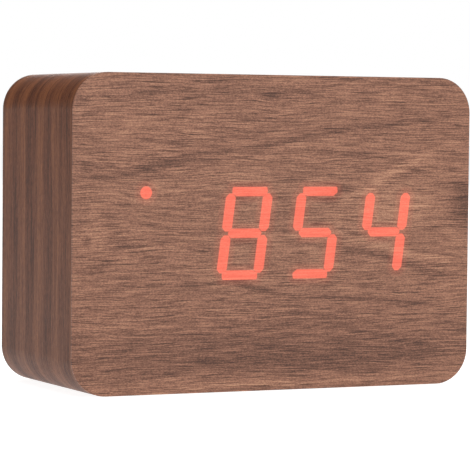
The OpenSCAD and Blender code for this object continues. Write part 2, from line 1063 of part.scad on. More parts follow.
module header() {
    color("ivory")
        translate([-header_w / 2, 0, -header_h / 2])
            cube([header_w, header_t, header_h]);
}

module display_header() {
    translate([ribbon_x, display_rear_y, display_header_z])
        header();
}

module control_header() {
    translate([ribbon_x, control_front_y - header_t, control_header_z])
        header();
}

module ribbon_cable() {
    y0 = display_rear_y + header_t;
    y1 = control_front_y - header_t;
    sag = (y1 - y0) * 0.45;
    steps = 20;
    route = [
        [y0, display_header_z],
        [y0 + sag, display_header_z],
        [y1 - sag, control_header_z],
        [y1, control_header_z],
    ];
    middle = curve(route, steps);
    sides = [
        for (i = [0 : steps])
            let (along = curve_heading(route, i / steps))
                [-along[1], along[0]] * ribbon_t / 2
    ];
    upper = [for (i = [0 : steps]) middle[i] + sides[i]];
    lower = [for (i = [steps : -1 : 0]) middle[i] - sides[i]];
    color("lightgray")
        translate([ribbon_x - ribbon_w / 2, 0, 0])
            rotate([90, 0, 90])
                linear_extrude(height = ribbon_w)
                    polygon(concat(upper, lower));
}

wood_case();
front_veneer();
side_veneer();
rear_veneer();
diffuser_film();
segment_mask();
display_board();
segment_leds();
driver_chips();
display_resistors();
display_screws();
back_cover();
cover_screws();
battery_door();
battery_cells();
battery_springs();
battery_contacts();
positive_lead();
negative_lead();
control_board();
board_screws();
switch_bodies();
set_button();
up_button();
down_button();
set_plunger();
up_plunger();
down_plunger();
usb_socket();
usb_tongue();
buzzer();
microphone();
thermistor();
control_chip();
clock_crystal();
capacitors();
backup_holder();
backup_cell();
display_header();
control_header();
ribbon_cable();
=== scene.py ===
import json
import math

import bmesh
import bpy
from mathutils import Matrix, Vector

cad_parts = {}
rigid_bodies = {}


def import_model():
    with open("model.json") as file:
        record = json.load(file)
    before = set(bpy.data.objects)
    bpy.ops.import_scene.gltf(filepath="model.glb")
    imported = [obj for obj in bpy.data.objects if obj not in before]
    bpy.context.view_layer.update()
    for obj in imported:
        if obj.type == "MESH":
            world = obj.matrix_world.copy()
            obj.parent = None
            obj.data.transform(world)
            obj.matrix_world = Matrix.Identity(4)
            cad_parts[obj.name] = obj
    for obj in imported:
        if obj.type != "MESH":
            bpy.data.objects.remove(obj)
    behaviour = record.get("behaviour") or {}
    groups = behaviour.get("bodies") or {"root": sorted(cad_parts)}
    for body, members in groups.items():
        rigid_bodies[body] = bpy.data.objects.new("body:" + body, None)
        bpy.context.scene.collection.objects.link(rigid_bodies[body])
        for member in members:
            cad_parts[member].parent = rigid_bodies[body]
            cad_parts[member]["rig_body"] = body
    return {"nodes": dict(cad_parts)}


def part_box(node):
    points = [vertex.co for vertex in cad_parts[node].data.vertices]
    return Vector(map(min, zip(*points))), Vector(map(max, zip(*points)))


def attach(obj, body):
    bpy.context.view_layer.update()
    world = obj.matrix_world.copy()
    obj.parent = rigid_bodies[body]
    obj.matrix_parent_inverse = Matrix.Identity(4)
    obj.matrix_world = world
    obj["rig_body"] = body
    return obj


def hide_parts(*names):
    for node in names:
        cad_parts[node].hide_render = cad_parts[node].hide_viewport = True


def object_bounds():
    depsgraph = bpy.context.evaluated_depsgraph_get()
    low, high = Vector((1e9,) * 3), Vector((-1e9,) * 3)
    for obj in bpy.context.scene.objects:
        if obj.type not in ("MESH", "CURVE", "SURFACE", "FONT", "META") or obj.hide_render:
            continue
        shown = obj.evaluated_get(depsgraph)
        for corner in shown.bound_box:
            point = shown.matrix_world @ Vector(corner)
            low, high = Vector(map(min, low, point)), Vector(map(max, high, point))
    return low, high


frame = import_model()
cad_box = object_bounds()


# ---- Board case ----------------------------------------------------------------------------
# The case is milled from fibreboard, pale brown and dusty where it is left bare inside.
# The veneers are glued to its outside, so it shows only through the rear when the clock is open.

MM = 0.001


def linear(code):
    """A linear colour from an sRGB hex code such as 8e6959."""
    srgb = [int(code[i:i + 2], 16) / 255 for i in (0, 2, 4)]
    return [c / 12.92 if c <= 0.04045 else ((c + 0.055) / 1.055) ** 2.4 for c in srgb] + [1.0]


def add(tree, kind, inputs=None, **settings):
    """Adds a node. An input may be a constant, a socket, or a node, whose first live output is used."""
    node = tree.nodes.new(kind)
    for name, value in settings.items():
        setattr(node, name, value)
    for name, value in (inputs or {}).items():
        socket = node.inputs[name]
        if isinstance(name, str):
            socket = next(s for s in node.inputs if s.name == name and s.enabled)
        if isinstance(value, bpy.types.Node):
            value = next(s for s in value.outputs if s.enabled)
        if isinstance(value, bpy.types.NodeSocket):
            tree.links.new(value, socket)
        else:
            socket.default_value = value
    return node


def new_material(name, colour="808080", roughness=0.5, metallic=0.0, ior=1.45):
    """A named material. Returns its node tree and its shader."""
    tree = bpy.data.materials.new(name)
    tree.use_nodes = True
    shader = tree.node_tree.nodes["Principled BSDF"]
    shader.inputs["Base Color"].default_value = linear(colour)
    shader.inputs["Roughness"].default_value = roughness
    shader.inputs["Metallic"].default_value = metallic
    if not metallic:
        shader.inputs["IOR"].default_value = ior
    return tree.node_tree, shader


def give(piece, *names):
    """Puts the named materials in a piece's slots."""
    piece.data.materials.clear()
    for name in names:
        piece.data.materials.append(bpy.data.materials[name])


# Fibreboard: pressed wood fibre, seen as a fine felted mottle.
FIBRE_MM = 0.35
tree, shader = new_material("raw_fibreboard", "a98560", 0.85)
place = add(tree, "ShaderNodeTexCoord").outputs["Object"]
felt = add(tree, "ShaderNodeTexNoise", {"Vector": place, "Scale": 1 / (FIBRE_MM * MM), "Detail": 4})
shade = add(tree, "ShaderNodeMix", {
    "Factor": felt, "A": linear("8d6c4b"), "B": linear("bd9a72")}, data_type="RGBA")
tree.links.new(shade.outputs["Result"], shader.inputs["Base Color"])
bump = add(tree, "ShaderNodeBump", {"Height": felt, "Strength": 0.4, "Distance": 0.1 * MM})
tree.links.new(bump.outputs[0], shader.inputs["Normal"])
give(frame["nodes"]["wood_case"], "raw_fibreboard")


# ---- Side veneer ---------------------------------------------------------------------------
# One strip of walnut veneer, 0.6 mm thick, bent round the four sides and butted underneath.
# Its grain runs along the wrap, so the growth rings show as stripes across the clock's depth.

CORNER_MM = 8.2
CORNER_STEPS = 14
high = Vector(cad_box[1])
half_w = high.x
tall = high.z


def outline(inset=0.0):
    """Points (x, z, length so far) round the case at an inset, from the middle of the underside."""
    radius = CORNER_MM * MM
    corners = [(half_w, 0), (half_w, tall), (-half_w, tall), (-half_w, 0)]
    points = [(0.0, inset, 0.0)]
    run = 0.0
    last = (0.0, 0.0)
    for turn, (x, z) in enumerate(corners):
        centre = (x - math.copysign(radius, x), radius if z == 0 else tall - radius)
        for step in range(CORNER_STEPS + 1):
            angle = math.radians(-90 + 90 * (turn + step / CORNER_STEPS))
            here = (centre[0] + radius * math.cos(angle), centre[1] + radius * math.sin(angle))
            run += math.dist(here, last) if step == 0 else radius * math.radians(90 / CORNER_STEPS)
            last = here
            reach = radius - inset
            points.append((centre[0] + reach * math.cos(angle), centre[1] + reach * math.sin(angle), run))
    return points


def object_from(mesh_or_bmesh, name):
    """Links a new object for a mesh, or for a bmesh, which is freed."""
    mesh = mesh_or_bmesh
    if isinstance(mesh, bmesh.types.BMesh):
        mesh = bpy.data.meshes.new(name)
        mesh_or_bmesh.to_mesh(mesh)
        mesh_or_bmesh.free()
    piece = bpy.data.objects.new(name, mesh)
    bpy.context.scene.collection.objects.link(piece)
    return piece


def settle(piece):
    """Turns a piece with its modifiers into a plain mesh."""
    graph = bpy.context.evaluated_depsgraph_get()
    mesh = bpy.data.meshes.new_from_object(
        piece.evaluated_get(graph), preserve_all_data_layers=True, depsgraph=graph)
    piece.modifiers.clear()
    piece.data = mesh


def round_edges(piece, width_mm, segments=2, sharper_than=35):
    """Rounds the edges that turn by more than so many degrees, and keeps flat faces flat beside them."""
    bevel = piece.modifiers.new("rounding", "BEVEL")
    bevel.width = width_mm * MM
    bevel.segments = segments
    bevel.limit_method = "ANGLE"
    bevel.angle_limit = math.radians(sharper_than)
    bevel.use_clamp_overlap = True
    settle(piece)
    piece.data.set_sharp_from_angle(angle=math.radians(50))
    evened = piece.modifiers.new("flat_faces_flat", "WEIGHTED_NORMAL")
    evened.mode = "FACE_AREA"
    evened.weight = 100
    evened.keep_sharp = True
    settle(piece)


def stands_for(piece, node):
    """The piece takes a CAD node's place and body."""
    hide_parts(node)
    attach(piece, frame["nodes"][node]["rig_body"])


# Walnut. Each grain size is the length and the width of one mark, in mm along and across the grain.
FIBRE_GRAIN = (14.0, 0.3)
THREAD_GRAIN = (7.0, 0.16)
FLECK_GRAIN = (0.4, 0.2)
PORE_GRAIN = (5.0, 0.17)
CROWD_GRAIN = (14.0, 3.5)


def grain_noise(tree, along, across, grain_size, layer, detail, **settings):
    """Noise drawn out along the grain. Each layer is its own slice of the noise."""
    place = add(tree, "ShaderNodeCombineXYZ", {
        "X": add(tree, "ShaderNodeMath", {0: along, 1: 1 / grain_size[0]}, operation="MULTIPLY"),
        "Y": add(tree, "ShaderNodeMath", {0: across, 1: 1 / grain_size[1]}, operation="MULTIPLY"),
        "Z": layer,
    })
    return add(tree, "ShaderNodeTexNoise", {"Vector": place, "Scale": 1.0, "Detail": detail, **settings})


def walnut(tree, shader, along, across, tone, colours, depth=1.0):
    """Adds fibres, pores, colour and relief. tone runs from dark, 0, to light, 1. Returns grain and pores."""
    grain = None
    for i, (size, detail, share) in enumerate(
            [(FIBRE_GRAIN, 2.0, 0.18), (THREAD_GRAIN, 1.0, 0.46), (FLECK_GRAIN, 1.0, 0.36)]):
        noise = grain_noise(tree, along, across, size, i * 7.3, detail, Roughness=0.6)
        part = add(tree, "ShaderNodeMath", {0: noise, 1: share}, operation="MULTIPLY")
        grain = part if grain is None else add(tree, "ShaderNodeMath", {0: grain, 1: part}, operation="ADD")
    pitted = grain_noise(tree, along, across, PORE_GRAIN, 31.7, 1.0)
    pores = add(tree, "ShaderNodeMapRange", {"Value": pitted, "From Min": 0.57, "From Max": 0.66})
    crowd = grain_noise(tree, along, across, CROWD_GRAIN, 12.1, 2.0)
    crowded = add(tree, "ShaderNodeMapRange", {
        "Value": crowd, "From Min": 0.35, "From Max": 0.65, "To Min": 0.75})
    pores = add(tree, "ShaderNodeMath", {0: pores, 1: crowded}, operation="MULTIPLY")
    light = add(tree, "ShaderNodeMapRange", {
        "Value": grain, "From Min": 0.38, "From Max": 0.62, "To Min": -0.36 * depth, "To Max": 0.36 * depth})
    shade = add(tree, "ShaderNodeMath", {0: tone, 1: light}, operation="ADD")
    shade = add(tree, "ShaderNodeMath", {0: pores, 1: -0.44 * depth, 2: shade}, operation="MULTIPLY_ADD")
    ramp = add(tree, "ShaderNodeValToRGB", {"Fac": shade})
    stops = ramp.color_ramp.elements
    while len(stops) < len(colours):
        stops.new(0.5)
    for i, colour in enumerate(colours):
        stops[i].position = i / (len(colours) - 1)
        stops[i].color = linear(colour)
    tree.links.new(ramp.outputs["Color"], shader.inputs["Base Color"])
    relief = add(tree, "ShaderNodeMath", {0: pores, 1: -0.8, 2: grain}, operation="MULTIPLY_ADD")
    bump = add(tree, "ShaderNodeBump", {"Height": relief, "Strength": 0.35, "Distance": 0.05 * MM})
    tree.links.new(bump.outputs["Normal"], shader.inputs["Normal"])
    polish = add(tree, "ShaderNodeMapRange", {"Value": shade, "To Min": 0.52, "To Max": 0.40})
    tree.links.new(polish.outputs[0], shader.inputs["Roughness"])
    return grain, pores


WALNUT_WRAP = ["381b10", "532c1a", "6f4027", "865131", "99623c"]
RING_MM = 10.6
DRIFT_MM = 9.0
DRIFT_GRAIN = (60.0, 16.0)
LINE_GRAIN = (90.0, 1.6)
DRAWN_OUT = 0.35
tree, shader = new_material("walnut_wrap")
uv = add(tree, "ShaderNodeUVMap", uv_map="grain").outputs["UV"]
split = add(tree, "ShaderNodeSeparateXYZ", {0: uv})
along, across = split.outputs["X"], split.outputs["Y"]
drift = grain_noise(tree, along, across, DRIFT_GRAIN, 0.0, 2.0)
shifted = add(tree, "ShaderNodeMath", {0: drift, 1: DRIFT_MM, 2: across}, operation="MULTIPLY_ADD")
phase = add(tree, "ShaderNodeMath", {0: shifted, 1: 2 * math.pi / RING_MM}, operation="MULTIPLY")
rings = add(tree, "ShaderNodeMath", {0: phase}, operation="SINE")
lines = grain_noise(tree, along, across, LINE_GRAIN, 0.0, 3.0)
tone = add(tree, "ShaderNodeMath", {0: rings, 1: 0.11, 2: 0.20}, operation="MULTIPLY_ADD")
tone = add(tree, "ShaderNodeMath", {0: lines, 1: 0.55, 2: tone}, operation="MULTIPLY_ADD")
longer = add(tree, "ShaderNodeMath", {0: along, 1: DRAWN_OUT}, operation="MULTIPLY")
walnut(tree, shader, longer, across, tone, WALNUT_WRAP, depth=0.75)
shader.inputs["Specular IOR Level"].default_value = 0.22

strip_low, strip_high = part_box("side_veneer")
VENEER_MM = 0.6
EASED_MM = 0.12
bm = bmesh.new()
uv_layer = bm.loops.layers.uv.new("grain")
outer, inner = outline(), outline(VENEER_MM * MM)
rings_of_verts = [
    [bm.verts.new((x, y, z)) for x, z, _ in points]
    for points, y in [
        (outer, strip_low.y), (outer, strip_high.y), (inner, strip_high.y), (inner, strip_low.y)]
]
girth = outer[-1][2] + half_w - CORNER_MM * MM
runs = [run for _, _, run in outer] + [girth]
for side in range(4):
    near, far = rings_of_verts[side], rings_of_verts[(side + 1) % 4]
    for i in range(len(outer)):
        after = (i + 1) % len(outer)
        face = bm.faces.new((near[i], far[i], far[after], near[after]))
        near_y, far_y = near[i].co.y, far[i].co.y
        places = [(runs[i], near_y), (runs[i], far_y), (runs[i + 1], far_y), (runs[i + 1], near_y)]
        for loop, (run, y) in zip(face.loops, places):
            loop[uv_layer].uv = (run / MM, y / MM)
bmesh.ops.recalc_face_normals(bm, faces=bm.faces)
wrap = object_from(bm, "side_veneer_strip")
round_edges(wrap, EASED_MM)
give(wrap, "walnut_wrap")
stands_for(wrap, "side_veneer")


# ---- Front sheet ---------------------------------------------------------------------------
# A flat sheet of walnut veneer glued over the whole front, its edge sanded to a fine round.
# The lights behind it shine through the thin wood, so the figures have no border of their own.

FIGURES = " 854"
LIT_BARS = {" ": "", "8": "abcdefg", "5": "acdfg", "4": "bcfg"}
ROW_MM, COLUMN_MM, PITCH_MM = 9.4, 9.2, 17.8
LEVEL_MM, UPRIGHT_MM = 2.15, 2.5
LEAN = math.tan(math.radians(7.5))
DOT_MM, DOT_LEFT_MM, DOT_UP_MM = 2.9, 6.5, 9.2
CORE_MM = 0.33
BLUR_MM = 0.24
HALO_MM = 2.4
GRID_MM = 0.25
GRID_SHORT_MM = (9.6, 9.4)

sheet_low, sheet_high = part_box("front_veneer")
mask_low, mask_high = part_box("segment_mask")
display_x = (mask_low.x + mask_high.x) / 2
display_z = (mask_low.z + mask_high.z) / 2


def bar_corners(lower, middle, upper, thick, blunt):
    """A bar along X from its lengths low down, half-way and high up. blunt is the height of its end."""
    right = [
        (lower / 2, -thick / 2), (middle / 2, -blunt / 2), (middle / 2, blunt / 2), (upper / 2, thick / 2)]
    return right + [(-x, z) for x, z in reversed(right)]


def figure_bars(name):
    """The outlines of a figure's lit bars, in mm from the figure's middle."""
    shapes = []
    thick = LEVEL_MM - 2 * CORE_MM
    middle = bar_corners(COLUMN_MM - 2.6, COLUMN_MM - 1.5, COLUMN_MM - 2.6, thick, 0.2)
    outer = bar_corners(COLUMN_MM - 2.7, COLUMN_MM - 0.95, COLUMN_MM - 1.1, thick, 0.15)
    upright = bar_corners(ROW_MM - 2.85, ROW_MM - 1.5, ROW_MM - 2.85, UPRIGHT_MM - 2 * CORE_MM, 0.7)
    for letter, row, way, shape in [("d", -1, -1, outer), ("g", 0, 1, middle), ("a", 1, 1, outer)]:
        if letter in LIT_BARS[name]:
            shapes.append([(x + row * ROW_MM * LEAN, z * way + row * ROW_MM) for x, z in shape])
    for letter, column, row in [("e", -1, -1), ("c", 1, -1), ("f", -1, 1), ("b", 1, 1)]:
        if letter in LIT_BARS[name]:
            turned = [(-z + column * COLUMN_MM / 2, x + row * ROW_MM / 2) for x, z in upright]
            shapes.append([(x + z * LEAN, z) for x, z in turned])
    return shapes


bm = bmesh.new()
shapes = []
for place, name in enumerate(FIGURES):
    centre = (place - (len(FIGURES) - 1) / 2) * PITCH_MM
    shapes += [[(x + centre, z) for x, z in shape] for shape in figure_bars(name)]
dot = (-1.5 * PITCH_MM - DOT_LEFT_MM, DOT_UP_MM)
reach = DOT_MM / 2 - CORE_MM
shapes.append([
    (dot[0] + reach * math.cos(math.radians(a)), dot[1] + reach * math.sin(math.radians(a)))
    for a in range(0, 360, 15)
])
for shape in shapes:
    bm.faces.new([
        bm.verts.new((display_x + x * MM, sheet_low.y, display_z + z * MM)) for x, z in shape
    ])
bars = object_from(bm, "lit_bars")

# The face is a fine grid over the figures and plain triangles around it. The grid is shorter than
# the mask in width and in height.
bm = bmesh.new()
columns = round((mask_high.x - mask_low.x - GRID_SHORT_MM[0] * MM) / (GRID_MM * MM))
rows = round((mask_high.z - mask_low.z - GRID_SHORT_MM[1] * MM) / (GRID_MM * MM))
grid = [
    [bm.verts.new((
        display_x + (i - columns / 2) * GRID_MM * MM, sheet_low.y, display_z + (j - rows / 2) * GRID_MM * MM,
    )) for i in range(columns + 1)]
    for j in range(rows + 1)
]
for j in range(rows):
    for i in range(columns):
        bm.faces.new((grid[j][i], grid[j][i + 1], grid[j + 1][i + 1], grid[j + 1][i]))
rim = [bm.verts.new((x, sheet_low.y, z)) for x, z, _ in outline()]
border = [e for e in bm.edges if len(e.link_faces) == 1]
border += [bm.edges.new((rim[i], rim[(i + 1) % len(rim)])) for i in range(len(rim))]
bmesh.ops.triangle_fill(bm, edges=border, use_beauty=True)
back = [bm.verts.new((x, sheet_high.y, z)) for x, z, _ in outline()]
for i in range(len(rim)):
    after = (i + 1) % len(rim)
    bm.faces.new((rim[i], rim[after], back[after], back[i]))
bm.faces.new(back)
bmesh.ops.recalc_face_normals(bm, faces=bm.faces)
sheet = object_from(bm, "front_veneer_sheet")

# Light spreads a little in the wood: each point of the sheet keeps how far it is from a bar's core.
tree = bpy.data.node_groups.new("light_behind_veneer", "GeometryNodeTree")
for name, kind in [("Sheet", "NodeSocketGeometry"), ("Bars", "NodeSocketObject"),
                   ("Unit", "NodeSocketFloat"), ("Finish", "NodeSocketMaterial")]:
    tree.interface.new_socket(name=name, in_out="INPUT", socket_type=kind)
tree.interface.new_socket(name="Sheet", in_out="OUTPUT", socket_type="NodeSocketGeometry")
given = add(tree, "NodeGroupInput").outputs
lit = add(tree, "GeometryNodeObjectInfo", {"Object": given["Bars"]}).outputs["Geometry"]
near = add(tree, "GeometryNodeProximity", {"Geometry": lit}, target_element="FACES").outputs["Distance"]
near_mm = add(tree, "ShaderNodeMath", {0: near, 1: given["Unit"]}, operation="DIVIDE")
stored = add(tree, "GeometryNodeStoreNamedAttribute", {
    "Geometry": given["Sheet"], "Name": "from_light", "Value": near_mm}, data_type="FLOAT", domain="POINT")
realized = add(tree, "GeometryNodeRealizeInstances", {0: stored})
finished = add(tree, "GeometryNodeSetMaterial", {"Geometry": realized, "Material": given["Finish"]})
add(tree, "NodeGroupOutput", {0: finished})


def grow(piece, tree, **values):
    """Runs a node tree on a piece with the named inputs, and keeps the plain mesh."""
    modifier = piece.modifiers.new(tree.name, "NODES")
    modifier.node_group = tree
    for item in tree.interface.items_tree:
        if item.in_out == "INPUT" and item.name in values:
            modifier[item.identifier] = values[item.name]
    settle(piece)


# Walnut face: a plain-sawn sheet, so its rings show as bands and one pointed arch.
# Each mark is (x, z, half length, half width, turn in degrees, tone), in mm on the face.
WALNUT_FACE = ["4a291a", "6b4431", "885a45", "a47157", "bf8c6c"]
FACE_MARKS = [
    (-35, 50.1, 26, 1.7, 9.8, -0.24),
    (-8, 55.2, 26, 1.1, 9, -0.22),
    (24, 59.8, 34, 1.0, 7, -0.19),
    (-22, 46.8, 38, 4.0, 9, 0.07),
    (30, 49.0, 24, 2.1, 23.5, 0.24),
    (32, 41.5, 19, 8.0, 8, 0.17),
    (16, 39.4, 9, 3.2, 2, 0.13),
    (29, 31.8, 24, 1.7, -15.5, 0.23),
    (28, 29.4, 24, 1.2, -15.5, -0.24),
    (49, 42.0, 8, 7.0, 4, -0.36),
    (14, 44.3, 6, 1.9, 16, -0.20),
    (-25, 24.4, 20, 1.0, 0, -0.20),
    (-5, 23.2, 14, 1.0, -9, -0.22),
    (26, 20.0, 30, 1.0, -3.5, -0.22),
    (0, 17.0, 75, 4.0, -1, -0.06),
    (0, 9.5, 80, 8.5, 0, -0.20),
    (6, 6.0, 70, 3.5, 0.5, -0.12),
    (6, 1.6, 70, 1.1, 0.6, 0.18),
    (-2.2, 66.9, 2.8, 1.1, 6, -0.30),
    (-45.8, 34.6, 2.6, 1.7, -10, -0.34),
    (-44.8, 35.2, 6.0, 4.4, 0, 0.13),
    (-43.5, 29.0, 6.5, 1.6, 20, -0.14),
    (-41.0, 39.6, 6.0, 1.2, -24, -0.12),
    (-20, 67.5, 34, 4.0, 0, -0.08),
    (-32, 60.0, 22, 4.0, 2, 0.10),
]
BEND_GRAIN = (26.0, 9.0)
BEND_MM = (10.0, 3.5)
WANDER_MM = 2.4
STREAK_GRAIN = (40.0, 2.6)
tree, shader = new_material("walnut_face")
place = add(tree, "ShaderNodeTexCoord").outputs["Object"]
in_mm = add(tree, "ShaderNodeVectorMath", {0: place, 1: (1 / MM, 0, 1 / MM)}, operation="MULTIPLY")
slow = add(tree, "ShaderNodeVectorMath", {
    0: in_mm, 1: (1 / BEND_GRAIN[0], 0, 1 / BEND_GRAIN[1])}, operation="MULTIPLY")
sway = add(tree, "ShaderNodeTexNoise", {"Vector": slow, "Scale": 1.0, "Detail": 3.0}).outputs["Color"]
sway = add(tree, "ShaderNodeVectorMath", {0: sway, 1: (0.5, 0.5, 0.5)}, operation="SUBTRACT")
bent = add(tree, "ShaderNodeVectorMath", {
    0: sway, 1: (BEND_MM[0], 0, BEND_MM[1]), 2: in_mm}, operation="MULTIPLY_ADD")
tone = None
for x, z, long, wide, turn, strength in FACE_MARKS:
    local = add(tree, "ShaderNodeMapping", {
        "Vector": bent, "Location": (x, 0, z), "Rotation": (0, -math.radians(turn), 0),
        "Scale": (long, 1, wide)}, vector_type="TEXTURE")
    far = add(tree, "ShaderNodeVectorMath", {0: local}, operation="LENGTH")
    mark = add(tree, "ShaderNodeMapRange", {
        "Value": far, "From Min": 0.1, "From Max": 1.0, "To Min": strength, "To Max": 0.0,
    }, interpolation_type="SMOOTHSTEP")
    tone = mark if tone is None else add(tree, "ShaderNodeMath", {0: tone, 1: mark}, operation="ADD")
wander = add(tree, "ShaderNodeMath", {
    0: add(tree, "ShaderNodeSeparateXYZ", {0: sway}).outputs["Z"], 1: WANDER_MM}, operation="MULTIPLY")
split = add(tree, "ShaderNodeSeparateXYZ", {0: in_mm})
along = split.outputs["X"]
across = add(tree, "ShaderNodeMath", {0: split.outputs["Z"], 1: wander}, operation="ADD")
streaks = grain_noise(tree, along, across, STREAK_GRAIN, 0.0, 3.0)
tone = add(tree, "ShaderNodeMath", {0: streaks, 1: 0.10, 2: tone}, operation="MULTIPLY_ADD")
tone = add(tree, "ShaderNodeMath", {0: tone, 1: 0.50}, operation="ADD")
grain, pores = walnut(tree, shader, along, across, tone, WALNUT_FACE)
near = add(tree, "ShaderNodeAttribute", attribute_name="from_light").outputs["Fac"]
core = add(tree, "ShaderNodeMapRange", {
    "Value": near, "From Min": CORE_MM - BLUR_MM / 2, "From Max": CORE_MM + BLUR_MM / 2,
    "To Min": 1.0, "To Max": 0.0}, interpolation_type="SMOOTHSTEP")
spread = add(tree, "ShaderNodeMapRange", {
    "Value": near, "From Min": CORE_MM, "From Max": HALO_MM, "To Min": 0.10, "To Max": 0.0},
    interpolation_type="SMOOTHERSTEP")
light = add(tree, "ShaderNodeMath", {0: core, 1: spread}, operation="MAXIMUM")
clear = add(tree, "ShaderNodeMapRange", {
    "Value": grain, "From Min": 0.36, "From Max": 0.64, "To Min": 0.70, "To Max": 0.76})
clear = add(tree, "ShaderNodeMath", {0: pores, 1: -0.03, 2: clear}, operation="MULTIPLY_ADD")
glow = add(tree, "ShaderNodeMath", {0: clear, 1: light}, operation="MULTIPLY")
shader.inputs["Emission Color"].default_value = (1.0, 0.085, 0.05, 1.0)
wood = shader.inputs["Base Color"].links[0].from_socket
# Under the lit bars the wood's base colour is painted paler and plainer too: painted light, from the lights
# shining through from behind.
glow_paling = add(tree, "ShaderNodeMath", {0: core, 1: 0.6}, operation="MULTIPLY")
mixed = add(tree, "ShaderNodeMix", {
    "Factor": glow_paling, "A": wood, "B": linear(WALNUT_FACE[2])}, data_type="RGBA")
tree.links.new(mixed.outputs["Result"], shader.inputs["Base Color"])
tree.links.new(glow.outputs[0], shader.inputs["Emission Strength"])

grow(sheet, bpy.data.node_groups["light_behind_veneer"], Bars=bars, Unit=MM,
     Finish=bpy.data.materials["walnut_face"])
bpy.data.objects.remove(bars)
round_edges(sheet, 0.22, segments=3)
stands_for(sheet, "front_veneer")


# ---- Rear rim sheet ------------------------------------------------------------------------
# A ring of the same veneer glued to the board's rear rim, cut flush with the rear cover's seat.
# It is cut from a plain board, so only fibres and a few soft stripes show.

WALNUT_PLAIN = ["3b2822", "5c4034", "7a543f", "94694d"]
STRIPE_GRAIN = (70.0, 4.0)
tree, shader = new_material("walnut_rim")
place = add(tree, "ShaderNodeTexCoord").outputs["Object"]
in_mm = add(tree, "ShaderNodeVectorMath", {0: place, 1: (1 / MM, 1 / MM, 1 / MM)}, operation="MULTIPLY")
split = add(tree, "ShaderNodeSeparateXYZ", {0: in_mm})
along, across = split.outputs["X"], split.outputs["Z"]
wide = add(tree, "ShaderNodeVectorMath", {
    0: in_mm, 1: (1 / STRIPE_GRAIN[0], 1 / STRIPE_GRAIN[0], 1 / STRIPE_GRAIN[1])}, operation="MULTIPLY")
stripes = add(tree, "ShaderNodeTexNoise", {"Vector": wide, "Scale": 1.0, "Detail": 2.0})
walnut(tree, shader, along, across, stripes, WALNUT_PLAIN)
rim = object_from(frame["nodes"]["rear_veneer"].data.copy(), "rear_veneer_ring")


def merge(piece):
    """Joins the loose triangles of a copied CAD mesh, and clears its stored normals and its inner edges."""
    stored_normals = piece.data.attributes.get("custom_normal")
    if stored_normals:
        piece.data.attributes.remove(stored_normals)
    bm = bmesh.new()
    bm.from_mesh(piece.data)
    bmesh.ops.remove_doubles(bm, verts=bm.verts, dist=0.001 * MM)
    bmesh.ops.dissolve_limit(bm, angle_limit=math.radians(0.5), verts=bm.verts, edges=bm.edges)
    bm.to_mesh(piece.data)
    bm.free()


merge(rim)
round_edges(rim, EASED_MM)
give(rim, "walnut_rim")
stands_for(rim, "rear_veneer")


# ---- Light spreader and mask ---------------------------------------------------------------
# A matt polyester film lies behind the front sheet, and a moulded white mask presses it there.
# Each bar of a figure has its own shaft in the mask, so its light can't reach the next one.


def surface(name, dark, light, patch_mm, roughness, bump_mm=0.0, grit_mm=0.3,
            metallic=0.0, ior=1.45, stretch=(1, 1, 1)):
    """A material that drifts between two colours, with fine grit in its relief and gloss.

    Returns its node tree, its shader, its place and the noise of its colour.
    """
    tree, shader = new_material(name, light, roughness, metallic, ior)
    place = add(tree, "ShaderNodeTexCoord").outputs["Object"]
    patch = add(tree, "ShaderNodeMapping", {"Vector": place, "Scale": [s / (patch_mm * MM) for s in stretch]})
    cloud = add(tree, "ShaderNodeTexNoise", {"Vector": patch, "Scale": 1.0, "Detail": 4.0, "Roughness": 0.6})
    ramp = add(tree, "ShaderNodeValToRGB", {"Fac": cloud})
    ramp.color_ramp.elements[0].position = 0.3
    ramp.color_ramp.elements[0].color = linear(dark)
    ramp.color_ramp.elements[1].position = 0.7
    ramp.color_ramp.elements[1].color = linear(light)
    tree.links.new(ramp.outputs["Color"], shader.inputs["Base Color"])
    fine = add(tree, "ShaderNodeMapping", {"Vector": place, "Scale": [s / (grit_mm * MM) for s in stretch]})
    grit = add(tree, "ShaderNodeTexNoise", {"Vector": fine, "Scale": 1.0, "Detail": 2.0})
    gloss = add(tree, "ShaderNodeMapRange", {
        "Value": grit, "From Min": 0.3, "From Max": 0.7,
        "To Min": roughness - 0.08, "To Max": roughness + 0.08})
    tree.links.new(gloss.outputs[0], shader.inputs["Roughness"])
    if bump_mm:
        bump = add(tree, "ShaderNodeBump", {"Height": grit, "Strength": 0.6, "Distance": bump_mm * MM})
        tree.links.new(bump.outputs["Normal"], shader.inputs["Normal"])
    return tree, shader, place, cloud


# Matt polyester (PET) film: milky, with a faint cloudiness.
surface("matt_polyester_film", "dfe1de", "f1f2ee", 6, 0.55, 0.004, 0.12, ior=1.57)
give(frame["nodes"]["diffuser_film"], "matt_polyester_film")

# White ABS, moulded: an even satin white, filled with chalk so that no light leaks through.
surface("white_moulded_abs", "e2e0d8", "f0eee7", 14, 0.48, 0.01, 0.4, ior=1.53)
give(frame["nodes"]["segment_mask"], "white_moulded_abs")


# ---- Display board -------------------------------------------------------------------------
# A glass-epoxy board with red lights under the mask's shafts and two driver chips behind.
# Four pan-head screws hold it and the mask to the front of the case.


